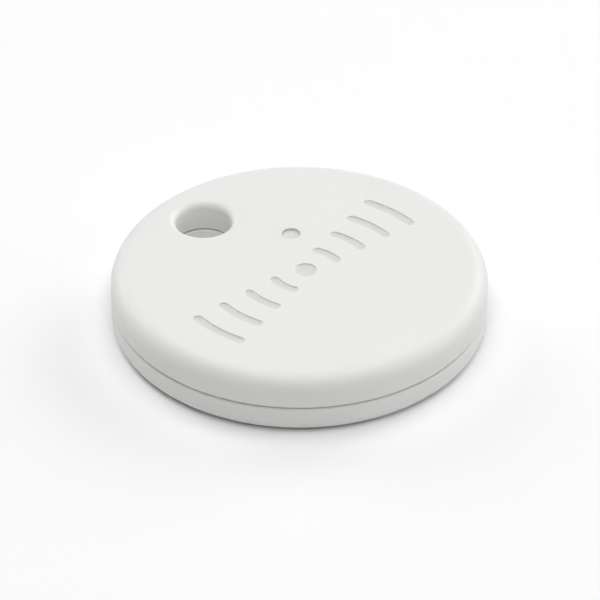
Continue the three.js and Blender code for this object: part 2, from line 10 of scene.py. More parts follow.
import bmesh
import bpy
from mathutils import Matrix, Vector


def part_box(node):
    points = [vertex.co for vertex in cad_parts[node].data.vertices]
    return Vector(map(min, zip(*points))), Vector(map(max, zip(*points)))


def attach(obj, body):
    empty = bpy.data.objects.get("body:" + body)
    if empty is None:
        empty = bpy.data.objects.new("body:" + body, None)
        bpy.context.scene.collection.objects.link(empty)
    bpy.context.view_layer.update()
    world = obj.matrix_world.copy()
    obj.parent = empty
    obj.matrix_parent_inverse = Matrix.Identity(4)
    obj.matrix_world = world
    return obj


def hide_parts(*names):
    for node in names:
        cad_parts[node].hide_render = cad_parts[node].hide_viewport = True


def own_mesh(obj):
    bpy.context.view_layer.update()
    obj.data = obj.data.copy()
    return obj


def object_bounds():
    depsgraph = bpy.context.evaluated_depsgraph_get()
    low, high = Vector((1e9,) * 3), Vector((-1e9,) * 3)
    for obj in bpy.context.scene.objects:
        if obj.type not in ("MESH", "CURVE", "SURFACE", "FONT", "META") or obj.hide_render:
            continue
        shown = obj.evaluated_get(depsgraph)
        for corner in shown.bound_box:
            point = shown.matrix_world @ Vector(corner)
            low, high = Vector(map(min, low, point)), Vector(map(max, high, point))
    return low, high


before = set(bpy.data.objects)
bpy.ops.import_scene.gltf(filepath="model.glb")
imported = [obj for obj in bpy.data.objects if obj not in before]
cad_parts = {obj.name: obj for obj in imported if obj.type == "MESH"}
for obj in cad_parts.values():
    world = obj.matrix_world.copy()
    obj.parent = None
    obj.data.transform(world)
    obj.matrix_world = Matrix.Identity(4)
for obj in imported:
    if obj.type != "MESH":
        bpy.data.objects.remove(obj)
cad_low, cad_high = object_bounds()
random.seed(7)

MM = 0.001
ROUND = 256  # segments of the case
MEDIUM = 128  # segments of the cell and the keyring hole
SMALL = 40  # segments of posts, ports and pads


# ---- Places and sizes from the CAD model, in millimetres ----


def extent(node):
    low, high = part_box(node)
    return low / MM, high / MM


def middle(node):
    low, high = extent(node)
    return (low.x + high.x) / 2, (low.y + high.y) / 2


CASE_RADIUS = extent("front_cover")[1].x
CASE_HEIGHT = extent("front_cover")[1].z
SEAM_HIGH = extent("front_cover")[0].z
SPIGOT_TOP = extent("rear_cover")[1].z
KEY = middle("keyring_hole_seal")
CELL = middle("cell_can")
CELL_RADIUS = (extent("cell_can")[1].x - extent("cell_can")[0].x) / 2
CELL_BASE = extent("cell_cap")[0].z
CELL_TOP = extent("cell_can")[1].z
PORT = middle("vent_membrane")
PIEZO = middle("piezo_plate")
BOARD_BASE = extent("circuit_board")[0].z
BOARD_TOP = extent("circuit_board")[1].z
BOARD_RADIUS = extent("circuit_board")[1].x
SEAT = extent("radio_chip")[0].z

# What the node boxes don't say, as in the CAD model.
SEAM_LOW = 2.86
SHOULDER = 2.94  # the rear cover's rim, raised a little so that the seam looks shallow
REAR_RIM_ROUND = 0.3
CEILING = 5.6
FLOOR = 0.75
FRONT_EDGE_ROUND = 1.8
REAR_EDGE_ROUND = 1.4
CAVITY_RADIUS = 17.0
SPIGOT_RADIUS = 17.85
SKIRT_INNER = 17.9
GROOVE = (3.5, 4.0, 17.45)
FRONT_COLLAR = 3.75
REAR_COLLAR = (4.2, 4.58)
KEY_RADIUS = 2.88
KEY_FRONT_ROUND = 0.8
KEY_REAR_ROUND = 0.45
BOARD_BITE = 4.78  # where the board is cut away round the keyring hole
PORT_RADIUS = 0.93
VENT_RADIUS = 1.62
EMBLEM = {"y": -0.8, "depth": 0.22, "dot": 1.1, "stroke": 0.95, "first": 3.5, "pitch": 3.3}
EMBLEM_BARS = (3.4, 4.4, 5.4, 6.4)  # lengths, from the innermost outwards
HOOK_ANGLES = (15, 165, 232, 308)
STAKES = ((-14.9, 4.6), (14.9, 4.6), (-5.0, -14.6))
SPRINGS = ((12.2, -4.6), (12.2, -1.4))
SPOKE_ANGLES = (30, 150, 270)
FINGER_ANGLES = (90, 210, 330)
TURNED = {"radio_chip": 53, "buzzer_driver": 90, "boost_inductor": 23, "bulk_capacitor": 64,
          "antenna_chip": 40.4, "main_crystal": 40, "clock_crystal": 119}


# ---- Shapes ----


def arc(x, y, radius, start, end, steps=10):
    """Points of an arc, with its angles in degrees."""
    angles = [math.radians(start + (end - start) * i / steps) for i in range(steps + 1)]
    return [(x + radius * math.cos(a), y + radius * math.sin(a)) for a in angles]


def solid(vertices, faces):
    mesh = bpy.data.meshes.new("part")
    mesh.from_pydata([tuple(v) for v in vertices], [], [tuple(f) for f in faces])
    made = bpy.data.objects.new("part", mesh)
    bpy.context.scene.collection.objects.link(made)
    return made


def loft(rings, closed_ring=False):
    """A closed solid through rings of equally many points, each anticlockwise seen from the last one."""
    count = len(rings[0])
    vertices = [point for ring in rings for point in ring]
    starts = [i * count for i in range(len(rings))]
    pairs = list(zip(starts, starts[1:]))
    if closed_ring:
        pairs.append((starts[-1], starts[0]))
    faces = [
        (low + (i - 1) % count, low + i, high + i, high + (i - 1) % count)
        for low, high in pairs
        for i in range(count)
    ]
    if not closed_ring:
        faces.append(tuple(reversed(range(count))))
        faces.append(tuple(range(starts[-1], starts[-1] + count)))
    return solid(vertices, faces)


def turned(profile, segments=MEDIUM, at=(0.0, 0.0)):
    """A solid turned about a vertical axis. The profile's (radius, height) points run up the outside.
    One that starts and ends on the axis is capped flat there; any other closes on itself."""
    on_axis = profile[0][0] == 0
    points = profile[1:-1] if on_axis else profile
    circle = [(math.cos(t), math.sin(t)) for t in (2 * math.pi * i / segments for i in range(segments))]
    rings = [[(at[0] + r * c, at[1] + r * s, z) for c, s in circle] for r, z in points]
    return loft(rings, closed_ring=not on_axis)


def disc(radius, low, high, segments=SMALL, at=(0.0, 0.0), edge=0.0):
    if not edge:
        return turned([(0, low), (radius, low), (radius, high), (0, high)], segments, at)
    bottom = arc(radius - edge, low + edge, edge, -90, 0, 3)
    top = arc(radius - edge, high - edge, edge, 0, 90, 3)
    return turned([(0, low), *bottom, *top, (0, high)], segments, at)


def prism(outline, low, high, edge=0.0):
    """An anticlockwise outline raised from low to high, with its rims bevelled."""
    made = loft([[(x, y, z) for x, y in outline] for z in (low, high)])
    if edge:
        bevel(made, edge, lambda e: abs(e.verts[0].co.z - e.verts[1].co.z) < 1e-6)
    return made


def bevel(made, width, wanted=lambda e: True, steps=2):
    work = bmesh.new()
    work.from_mesh(made.data)
    edges = [e for e in work.edges if wanted(e)]
    bmesh.ops.bevel(work, geom=edges, offset=width, segments=steps, profile=0.5, affect="EDGES")
    work.to_mesh(made.data)
    work.free()
    return made


def block(low, high, edge=0.05, steps=2):
    (x0, y0, z0), (x1, y1, z1) = low, high
    made = prism([(x0, y0), (x1, y0), (x1, y1), (x0, y1)], z0, z1)
    return bevel(made, edge, steps=steps) if edge else made


def turn(made, degrees, at=(0.0, 0.0), height=0.0):
    """Turns a shape about the vertical through its origin, and then moves it."""
    spin = Matrix.Rotation(math.radians(degrees), 4, "Z")
    made.data.transform(Matrix.Translation((at[0], at[1], height)) @ spin)
    return made


def upright(made):
    """Stands a prism up: its outline's second axis becomes the height, and it lies across Y."""
    made.data.transform(Matrix.Rotation(math.pi / 2, 4, "X"))
    return made


def radial(degrees, inner, outer, width, low, high, at=(0.0, 0.0), edge=0.05):
    """A block from one radius to another in a direction, about a vertical axis."""
    made = block((inner, -width / 2, low), (outer, width / 2, high), edge)
    return turn(made, degrees, at)


def smooth_line(points, count):
    """Catmull-Rom points through a list of 2-D points."""
    ends = [Vector(p) for p in points]
    ends = [2 * ends[0] - ends[1], *ends, 2 * ends[-1] - ends[-2]]
    found = []
    for i in range(count + 1):
        place = min(i / count * (len(points) - 1), len(points) - 1 - 1e-9)
        k, t = int(place), place - int(place)
        p0, p1, p2, p3 = ends[k : k + 4]
        found.append(0.5 * (2 * p1 + (p2 - p0) * t + (2 * p0 - 5 * p1 + 4 * p2 - p3) * t**2
                            + (3 * p1 - p0 - 3 * p2 + p3) * t**3))
    return found


def strip(points, thickness, width, count=48, edge=0.02):
    """Bent sheet metal along a smooth line of (distance, height) points, lying across Y."""
    line = smooth_line(points, count)
    left, right = [], []
    for i, point in enumerate(line):
        along = (line[min(i + 1, count)] - line[max(i - 1, 0)]).normalized()
        normal = Vector((-along.y, along.x)) * thickness / 2
        left.append(tuple(point - normal))
        right.append(tuple(point + normal))
    made = prism([*left, *reversed(right)], -width / 2, width / 2, edge)
    return upright(made)


def sweep(points, radius, sides=10):
    """A round wire along 3-D points."""
    points = [Vector(p) for p in points]
    rings = []
    across = None
    for i, point in enumerate(points):
        along = (points[min(i + 1, len(points) - 1)] - points[max(i - 1, 0)]).normalized()
        across = (across or along.orthogonal()) - along * along.dot(across or along.orthogonal())
        across.normalize()
        up = along.cross(across)
        angles = [2 * math.pi * k / sides for k in range(sides)]
        rings.append([point + radius * (math.cos(a) * across + math.sin(a) * up) for a in angles])
    return loft(rings)


def torus(radius, section, height, at=(0.0, 0.0), segments=ROUND):
    ring = arc(radius, height, section, 0, 360, 18)[:-1]
    return turned(ring, segments, at)


def applied(made):
    """The object with its modifiers made real."""
    graph = bpy.context.evaluated_depsgraph_get()
    mesh = bpy.data.meshes.new_from_object(made.evaluated_get(graph))
    made.modifiers.clear()
    made.data = mesh
    return made


def combine(base, operation, others):
    for other in others:
        modifier = base.modifiers.new(operation, "BOOLEAN")
        modifier.operation = operation
        modifier.solver = "MANIFOLD"
        modifier.object = other
    applied(base)
    for other in others:
        bpy.data.objects.remove(other)
    return base


def join(base, *others):
    return combine(base, "UNION", others)


def cut(base, *others):
    return combine(base, "DIFFERENCE", others)


def gathered(parts):
    """One object from separate (shape, material) parts, each keeping its material."""
    vertices, faces, indices, materials = [], [], [], []
    for made, material in parts:
        if material not in materials:
            materials.append(material)
        start = len(vertices)
        vertices += [v.co.copy() for v in made.data.vertices]
        faces += [tuple(start + i for i in p.vertices) for p in made.data.polygons]
        indices += [materials.index(material)] * len(made.data.polygons)
        bpy.data.objects.remove(made)
    whole = solid(vertices, faces)
    for material in materials:
        whole.data.materials.append(material)
    whole.data.polygons.foreach_set("material_index", indices)
    return whole


def piece(name, made, body, material=None, node=None, sharp=32):
    """Scales a finished shape to metres, gives it its material and its body, and hides its CAD node."""
    made.name = name
    made.data.name = name
    made.data.transform(Matrix.Scale(MM, 4))
    if material:
        made.data.materials.clear()
        made.data.materials.append(material)
    made.data.shade_smooth()
    made.data.set_sharp_from_angle(angle=math.radians(sharp))
    weighted = made.modifiers.new("normals", "WEIGHTED_NORMAL")
    weighted.keep_sharp = True
    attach(made, body)
    if node:
        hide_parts(node)
    return made


# ---- Materials ----


class Surface:
    """A Principled material whose colour, roughness and bump come from textures in the row frame."""

    def __init__(self, name, colour, roughness, metallic=0.0, **sockets):
        self.material = bpy.data.materials.new(name)
        self.material.use_nodes = True
        self.material.diffuse_color = (*colour, 1)
        self.nodes = self.material.node_tree.nodes
        self.shader = self.nodes["Principled BSDF"]
        self.colour = colour
        self.shader.inputs["Base Color"].default_value = (*colour, 1)
        self.shader.inputs["Roughness"].default_value = roughness
        self.shader.inputs["Metallic"].default_value = metallic
        for socket, value in sockets.items():
            self.shader.inputs[socket.replace("_", " ")].default_value = value
        self.place = self.nodes.new("ShaderNodeTexCoord").outputs["Object"]
        self.height = None

    def link(self, output, socket):
        self.material.node_tree.links.new(output, socket)

    def product(self, *values):
        node = self.nodes.new("ShaderNodeMath")
        node.operation = "MULTIPLY"
        for socket, value in zip(node.inputs, values):
            self.link(value, socket)
        return node.outputs[0]

    def noise(self, size, detail=3.0, stretch=(1, 1, 1), rough=0.55):
        """Noise with features of a size in millimetres."""
        mapping = self.nodes.new("ShaderNodeMapping")
        mapping.inputs["Scale"].default_value = [s / (size * MM) for s in stretch]
        self.link(self.place, mapping.inputs["Vector"])
        node = self.nodes.new("ShaderNodeTexNoise")
        node.inputs["Scale"].default_value = 1.0
        node.inputs["Detail"].default_value = detail
        node.inputs["Roughness"].default_value = rough
        self.link(mapping.outputs[0], node.inputs["Vector"])
        return node.outputs["Fac"]

    def radius(self, at):
        """Distance from a vertical axis, in metres."""
        shift = self.nodes.new("ShaderNodeMapping")
        shift.inputs["Location"].default_value = (-at[0] * MM, -at[1] * MM, 0)
        shift.inputs["Scale"].default_value = (1, 1, 0)
        self.link(self.place, shift.inputs["Vector"])
        length = self.nodes.new("ShaderNodeVectorMath")
        length.operation = "LENGTH"
        self.link(shift.outputs[0], length.inputs[0])
        return length.outputs["Value"]

    def level(self):
        """Height above the rear face, in metres."""
        split = self.nodes.new("ShaderNodeSeparateXYZ")
        self.link(self.place, split.inputs[0])
        return split.outputs["Z"]

    def rings(self, at, size):
        """Fine concentric turning marks about a vertical axis."""
        node = self.nodes.new("ShaderNodeTexNoise")
        node.noise_dimensions = "1D"
        node.inputs["Scale"].default_value = 1 / (size * MM)
        node.inputs["Detail"].default_value = 3
        self.link(self.radius(at), node.inputs["W"])
        return node.outputs["Fac"]

    def cells(self, size):
        node = self.nodes.new("ShaderNodeTexVoronoi")
        node.inputs["Scale"].default_value = 1 / (size * MM)
        self.link(self.place, node.inputs["Vector"])
        return node.outputs["Distance"]

    def spread(self, value, low, high, start=0.3, end=0.7):
        """A value from start to end mapped to low to high."""
        node = self.nodes.new("ShaderNodeMapRange")
        node.inputs["From Min"].default_value = start
        node.inputs["From Max"].default_value = end
        node.inputs["To Min"].default_value = low
        node.inputs["To Max"].default_value = high
        self.link(value, node.inputs["Value"])
        return node.outputs["Result"]

    def tint(self, value, other, start=0.3, end=0.7):
        """Colour that goes from the base to another colour as value goes from start to end."""
        mix = self.nodes.new("ShaderNodeMix")
        mix.data_type = "RGBA"
        self.link(self.spread(value, 0, 1, start, end), mix.inputs["Factor"])
        current = self.shader.inputs["Base Color"]
        if current.is_linked:
            self.link(current.links[0].from_socket, mix.inputs["A"])
        else:
            mix.inputs["A"].default_value = (*self.colour, 1)
        mix.inputs["B"].default_value = (*other, 1)
        self.link(mix.outputs["Result"], current)
        return self

    def gloss(self, value, low, high):
        self.link(self.spread(value, low, high), self.shader.inputs["Roughness"])
        return self

    def relief(self, value, depth):
        """Adds a bump of a depth in millimetres."""
        bump = self.nodes.new("ShaderNodeBump")
        bump.inputs["Distance"].default_value = depth * MM
        bump.inputs["Strength"].default_value = 1.0
        self.link(value, bump.inputs["Height"])
        if self.height:
            self.link(self.height, bump.inputs["Normal"])
        self.height = bump.outputs["Normal"]
        self.link(self.height, self.shader.inputs["Normal"])
        return self


def shell_plastic():
    """White moulded plastic, with painted light on the keyring hole's wall: the wall is tinted a little
    lighter towards the front.
    """
    s = Surface("moulded_shell", (0.84, 0.836, 0.823), 0.46,
                Subsurface_Weight=0.1, Subsurface_Scale=0.0005)
    s.shader.inputs["Subsurface Radius"].default_value = (1.0, 0.93, 0.86)
    s.tint(s.noise(9.0, 2), (0.825, 0.82, 0.805))
    # painted light: the keyring hole's wall is tinted lighter higher up, towards the front face, standing
    # in for light reaching into the hole
    wall = s.spread(s.radius(KEY), 0, 1, 0.0036, 0.0029)
    near = s.spread(s.level(), 0, 1, 0.0026, 0.0056)
    s.tint(s.product(wall, near), (0.96, 0.956, 0.945), 0, 1)
    s.gloss(s.noise(0.5, 4), 0.42, 0.52)
    s.relief(s.noise(0.14, 3), 0.0035)
    return s.relief(s.noise(6.0, 1), 0.012).material


def sunk_floor():
    """The floor of the sunk sign: its darker colour is painted shade in the recess, and its etched finish
    makes it duller than the shell.
    """
    # painted shade: the darker base colour stands in for the shade that falls in the sunk sign's recess
    s = Surface("etched_floor_with_painted_shade", (0.70, 0.696, 0.684), 0.62)
    s.tint(s.noise(1.5), (0.68, 0.676, 0.664))
    s.gloss(s.noise(0.2), 0.55, 0.7)
    return s.relief(s.noise(0.08), 0.006).material


def rubber():
    s = Surface("silicone_rubber", (0.045, 0.047, 0.05), 0.6)
    s.tint(s.noise(0.8), (0.07, 0.072, 0.075))
    s.gloss(s.noise(0.2), 0.5, 0.72)
    return s.relief(s.noise(0.08), 0.004).material


def holder_plastic():
    s = Surface("black_moulding", (0.022, 0.023, 0.026), 0.5)
    s.tint(s.noise(2.5), (0.036, 0.037, 0.04))
    s.gloss(s.noise(0.25), 0.4, 0.58)
    return s.relief(s.noise(0.1), 0.004).material


def solder_mask():
    s = Surface("solder_mask", (0.010, 0.085, 0.042), 0.32, Coat_Weight=0.35, Coat_Roughness=0.18)
    s.tint(s.noise(3.0), (0.014, 0.11, 0.052))
    s.gloss(s.noise(0.3), 0.26, 0.4)
    s.relief(s.cells(0.35), 0.0025)
    return s.relief(s.noise(0.9), 0.006).material


def masked_copper():
    s = Surface("masked_copper", (0.018, 0.15, 0.068), 0.3, Coat_Weight=0.35, Coat_Roughness=0.18)
    s.tint(s.noise(1.5), (0.024, 0.175, 0.078))
    return s.gloss(s.noise(0.3), 0.24, 0.38).material


def plated(name, colour, other, low, high, grain=0.12):
    s = Surface(name, colour, low, 1.0)
    s.tint(s.noise(1.2), other)
    s.gloss(s.noise(grain * 4, 1), low, high)
    return s.relief(s.noise(grain, 1), 0.0002).material


def turned_metal(name, colour, other, at, low=0.2, high=0.36):
    s = Surface(name, colour, low, 1.0)
    s.tint(s.noise(3.0), other)
    s.gloss(s.rings(at, 0.12), low, high)
    s.relief(s.rings(at, 0.09), 0.0006)
    return s.relief(s.noise(0.5, stretch=(1, 9, 1)), 0.0004).material


def matt(name, colour, other, low, high, size=0.3, depth=0.004):
    s = Surface(name, colour, low)
    s.tint(s.noise(size * 5), other)
    s.gloss(s.noise(size), low, high)
    return s.relief(s.noise(size / 2), depth).material


def polyimide():
    s = Surface("polyimide_film", (0.55, 0.19, 0.02), 0.25, Coat_Weight=0.4, Coat_Roughness=0.12)
    s.tint(s.noise(2.0), (0.45, 0.13, 0.012))
    s.gloss(s.noise(0.4), 0.2, 0.34)
    return s.relief(s.noise(1.2), 0.008).material


def vent_film():
    """Porous film, darker near the port's edge: painted shade where the port's wall shades it."""
    s = Surface("porous_film", (0.70, 0.697, 0.685), 0.85)
    s.tint(s.noise(0.5), (0.66, 0.657, 0.645))
    # painted shade: the film is darker in a ring just inside the port's edge, where the port's wall shades
    # it
    s.tint(s.radius(PORT), (0.50, 0.497, 0.487), 0.00074, 0.00088)
    s.gloss(s.noise(0.1), 0.8, 0.95)
    return s.relief(s.noise(0.05), 0.006).material


def floor_paper():
    s = Surface("seamless_paper", (0.945, 0.945, 0.945), 0.85)
    s.tint(s.noise(60.0, 2), (0.94, 0.94, 0.94))
    s.gloss(s.noise(8.0), 0.8, 0.9)
    return s.relief(s.noise(0.4), 0.002).material


SHELL = shell_plastic()
SUNK = sunk_floor()
RUBBER = rubber()
BLACK = holder_plastic()
MASK = solder_mask()
COPPER_LINES = masked_copper()
GOLD = plated("gold_plate", (0.86, 0.62, 0.27), (0.80, 0.54, 0.21), 0.18, 0.34)
TIN = plated("tin_solder", (0.76, 0.76, 0.77), (0.71, 0.71, 0.73), 0.26, 0.36)
SPRING_STEEL = plated("spring_steel", (0.66, 0.66, 0.67), (0.63, 0.63, 0.645), 0.27, 0.32)
LID_METAL = plated("nickel_lid", (0.74, 0.74, 0.73), (0.71, 0.71, 0.705), 0.25, 0.31)
CAN_STEEL = turned_metal("cell_steel", (0.74, 0.75, 0.76), (0.69, 0.7, 0.72), CELL)
CRADLE_STEEL = turned_metal("cradle_steel", (0.62, 0.63, 0.65), (0.57, 0.58, 0.61), CELL, 0.26, 0.42)
BRASS = turned_metal("rolled_brass", (0.80, 0.60, 0.27), (0.73, 0.52, 0.22), PIEZO, 0.24, 0.4)
SILVER_PASTE = matt("silvered_ceramic", (0.74, 0.73, 0.70), (0.68, 0.67, 0.63), 0.4, 0.6, 0.2)
PIEZO_CERAMIC = matt("sintered_ceramic", (0.52, 0.50, 0.43), (0.46, 0.44, 0.38), 0.5, 0.7, 0.2)
FILM = polyimide()
VENT_FILM = vent_film()
FOAM = matt("adhesive_foam", (0.06, 0.06, 0.065), (0.1, 0.1, 0.105), 0.85, 0.95, 0.12, 0.02)
CELL_SEAL = matt("cell_sealing", (0.25, 0.27, 0.29), (0.3, 0.32, 0.34), 0.4, 0.6, 0.3)
CATHODE = matt("pressed_powder", (0.013, 0.013, 0.014), (0.03, 0.03, 0.03), 0.8, 0.95, 0.15, 0.02)
LITHIUM = plated("lithium_metal", (0.45, 0.46, 0.49), (0.34, 0.35, 0.38), 0.45, 0.6)
SEPARATOR = matt("separator_fibre", (0.9, 0.9, 0.87), (0.82, 0.82, 0.79), 0.85, 0.95, 0.08, 0.01)
EPOXY = matt("moulding_compound", (0.018, 0.019, 0.021), (0.03, 0.031, 0.034), 0.45, 0.62, 0.12)
WHITE_CERAMIC = matt("antenna_ceramic", (0.78, 0.77, 0.70), (0.72, 0.7, 0.62), 0.4, 0.6, 0.15)
TAN_CERAMIC = matt("capacitor_ceramic", (0.44, 0.30, 0.17), (0.36, 0.24, 0.13), 0.4, 0.58, 0.12)
FERRITE = matt("sintered_ferrite", (0.05, 0.052, 0.058), (0.075, 0.077, 0.083), 0.5, 0.7, 0.12)
TANTALUM = matt("yellow_moulding", (0.62, 0.39, 0.05), (0.55, 0.33, 0.04), 0.4, 0.56, 0.15)
STRIPE = matt("polarity_stripe", (0.10, 0.05, 0.02), (0.13, 0.07, 0.03), 0.45, 0.6, 0.15)
RESISTOR = matt("resistor_glaze", (0.016, 0.017, 0.022), (0.024, 0.025, 0.03), 0.22, 0.4, 0.15, 0.002)
ALUMINA = matt("alumina", (0.72, 0.71, 0.68), (0.66, 0.65, 0.62), 0.5, 0.65, 0.12)
WINDING = plated("enamelled_copper", (0.62, 0.26, 0.12), (0.55, 0.2, 0.09), 0.22, 0.36)
INK = matt("white_ink", (0.74, 0.75, 0.73), (0.66, 0.67, 0.65), 0.5, 0.7, 0.15)


# ---- Covers ----


def key_hole():
    """The keyring hole's space, flared at both faces and eased at the seam."""
    front = KEY_RADIUS + KEY_FRONT_ROUND
    rear = KEY_RADIUS + KEY_REAR_ROUND
    return turned([
        (0, -1),
        (rear, -1),
        *arc(rear, KEY_REAR_ROUND, KEY_REAR_ROUND, 270, 180, 10),
        *arc(KEY_RADIUS + 0.2, SHOULDER - 0.2, 0.2, 180, 90, 5),
        *arc(KEY_RADIUS + 0.1, SEAM_HIGH + 0.1, 0.1, 270, 180, 3),
        *arc(front, CASE_HEIGHT - KEY_FRONT_ROUND, KEY_FRONT_ROUND, 180, 90, 14),
        (front, CASE_HEIGHT + 1),
        (0, CASE_HEIGHT + 1),
    ], MEDIUM, KEY)


def sunk_levels(depth, rim=0.07, steps=3):
    """(growth, height) pairs of a cutter that leaves a rounded rim and a rounded foot."""
    foot = [(x - rim, z) for x, z in arc(0, rim - depth, rim, -90, 0, steps)]
    edge = arc(rim, -rim, rim, 180, 90, steps)
    return [*foot, *edge, (rim, 1.0)]


def emblem_bar(radius, facing, length):
    """A cutter for one curved bar with round ends, facing 0 or 180 degrees round from +X."""
    stroke = EMBLEM["stroke"]
    half = math.degrees(math.asin((length - stroke) / 2 / radius))
    tip_x, tip_y = arc(0, 0, radius, half, half, 1)[0]
    rings = []
    for growth, z in sunk_levels(EMBLEM["depth"]):
        width = stroke / 2 + growth
        outline = [
            *arc(0, 0, radius + width, -half, half, 14),
            *arc(tip_x, tip_y, width, half, half + 180, 12)[1:],
            *arc(0, 0, radius - width, half, -half, 14)[1:],
            *arc(tip_x, -tip_y, width, 180 - half, 360 - half, 12)[1:-1],
        ]
        rings.append([(x, y, CASE_HEIGHT + z) for x, y in outline])
    return turn(loft(rings), facing, (0, EMBLEM["y"]))


def emblem():
    """A dot between rows of curved bars, sunk into the front face."""
    levels = sunk_levels(EMBLEM["depth"])
    dot = [(EMBLEM["dot"] + growth, CASE_HEIGHT + z) for growth, z in levels]
    cutters = [turned([(0, dot[0][1]), *dot, (0, dot[-1][1])], 48, (0, EMBLEM["y"]))]
    for i, length in enumerate(EMBLEM_BARS):
        radius = EMBLEM["first"] + i * EMBLEM["pitch"]
        cutters += [emblem_bar(radius, facing, length) for facing in (0, 180)]
    return cutters


def sound_port():
    """The port's hole, and the wider pocket under it that the vent membrane sits in."""
    pocket_top = extent("vent_membrane")[1].z + 0.02
    rim = 0.08
    hole = turned([
        (0, CEILING),
        (PORT_RADIUS, CEILING),
        *arc(PORT_RADIUS + rim, CASE_HEIGHT - rim, rim, 180, 90, 4),
        (PORT_RADIUS + rim, CASE_HEIGHT + 1),
        (0, CASE_HEIGHT + 1),
    ], 64, PORT)
    return [hole, disc(VENT_RADIUS + 0.08, CEILING - 1, pocket_top, 64, PORT)]


def snap_hook(degrees):
    """A clip under the front cover: a leg with a wedge-shaped barb."""
    inner, outer, barb, low, high = 16.3, 16.9, 17.12, 3.3, 5.9
    side = [(inner, high), (inner, low + 0.1), (inner + 0.1, low), (outer, low),
            (barb, low + 0.2), (barb, low + 0.32), (outer, low + 0.5), (outer, high)]
    return turn(upright(prism(side, -1.5, 1.5, 0.04)), degrees)


def front_shell():
    lip, edge = 0.1, FRONT_EDGE_ROUND
    inside = CEILING + 0.3  # within the roof, where the shapes under it are joined on
    body = turned([
        (0, CEILING),
        *arc(SKIRT_INNER - 0.5, CEILING - 0.5, 0.5, 90, 0, 6),
        *arc(SKIRT_INNER + lip, SEAM_HIGH + lip, lip, 180, 270, 3),
        *arc(CASE_RADIUS - lip, SEAM_HIGH + lip, lip, 270, 360, 4),
        *arc(CASE_RADIUS - edge, CASE_HEIGHT - edge, edge, 0, 90, 24),
        (0, CASE_HEIGHT),
    ], ROUND)
    collar = turned([
        (0, SEAM_HIGH),
        *arc(FRONT_COLLAR - 0.15, SEAM_HIGH + 0.15, 0.15, 270, 360, 4),
        (FRONT_COLLAR, inside),
        (0, inside),
    ], MEDIUM, KEY)
    low = CEILING - 0.12
    step = low + 0.04
    chamber = turned([(8.0, step), (8.04, low), (8.86, low), (8.9, step), (8.9, inside), (8.0, inside)],
                     MEDIUM, PIEZO)
    ribs = [radial(a, 9.1, 9.9, 2.6, CELL_TOP + 0.02, inside, CELL, 0.08) for a in (205, 270, 335)]
    boss = block((10.9, -5.9, 5.2), (13.6, -0.1, inside), 0.1)
    made = join(body, collar, chamber, boss, *ribs, *[snap_hook(a) for a in HOOK_ANGLES])
    cut(made, key_hole(), *sound_port(), *emblem())
    made.data.materials.clear()
    made.data.materials.append(SHELL)
    # the second material goes on the sunk sign's floors and paints shade into the recess
    made.data.materials.append(SUNK)
    for face in made.data.polygons:
        depth = CASE_HEIGHT - face.center.z
        face.material_index = int(face.normal.z > 0.99 and 0.15 < depth < 0.25)
    return piece("front_cover_shell", made, "front_half", node="front_cover")


def heat_stake(at):
    """A plastic post with its top melted into a low dome over the board."""
    head = [(1.05 * x, SEAT + 0.28 * z) for x, z in arc(0, 0, 1, 0, 80, 8)]
    profile = [(0, FLOOR / 2), (0.6, FLOOR / 2), (0.6, SEAT), (1.0, SEAT), *head, (0, head[-1][1])]
    return turned(profile, SMALL, at)


def rear_shell():
    edge, rim = REAR_EDGE_ROUND, REAR_RIM_ROUND
    groove_low, groove_high, groove_radius = GROOVE
    collar_inner, collar_outer = REAR_COLLAR
    body = turned([
        (0, 0),
        *arc(CASE_RADIUS - edge, edge, edge, 270, 360, 24),
        *arc(CASE_RADIUS - rim, SHOULDER - rim, rim, 0, 90, 8),
        (SPIGOT_RADIUS, SHOULDER),
        (SPIGOT_RADIUS, groove_low),
        (groove_radius, groove_low),
        (groove_radius, groove_high),
        (SPIGOT_RADIUS, groove_high),
        *arc(SPIGOT_RADIUS - 0.15, SPIGOT_TOP - 0.15, 0.15, 0, 90, 3),
        *arc(CAVITY_RADIUS + 0.1, SPIGOT_TOP - 0.1, 0.1, 90, 180, 3),
        *arc(CAVITY_RADIUS - 0.4, FLOOR + 0.4, 0.4, 0, -90, 6),
        (0, FLOOR),
    ], ROUND)
    collar = turned([
        (0, FLOOR / 2),
        (collar_outer, FLOOR / 2),
        *arc(collar_outer - 0.1, 4.0, 0.1, 0, 90, 3),
        *arc(collar_inner + 0.07, 4.03, 0.07, 90, 180, 3),
        (collar_inner, SEAM_LOW),
        (3.5, SEAM_LOW),
        (3.4, SHOULDER),
        (0, SHOULDER),
    ], MEDIUM, KEY)
    channels = [radial(a, 16, 17.2, 3.5, 3.05, SPIGOT_TOP + 1, edge=0) for a in HOOK_ANGLES]
    low = SEAM_LOW - 0.55
    notch = radial(90, CASE_RADIUS - 0.8, CASE_RADIUS + 1, 5, low, SEAM_LOW + 0.6, edge=0.15)
    made = join(body, collar, *[heat_stake(at) for at in STAKES])
    cut(made, key_hole(), notch, *channels)
    return piece("rear_cover_shell", made, "rear_half", SHELL, "rear_cover")


def seals():
    low, high = extent("perimeter_seal")
    o_ring = torus((GROOVE[2] + SPIGOT_RADIUS) / 2 + 0.02, 0.19, (low.z + high.z) / 2)
    piece("perimeter_o_ring", o_ring, "rear_half", RUBBER, "perimeter_seal")
    low, high = extent("keyring_hole_seal")
    o_ring = torus((FRONT_COLLAR + REAR_COLLAR[0]) / 2, 0.2, (low.z + high.z) / 2, KEY, MEDIUM)
    piece("keyring_hole_o_ring", o_ring, "rear_half", RUBBER, "keyring_hole_seal")


# ---- Coin cell and cradle ----


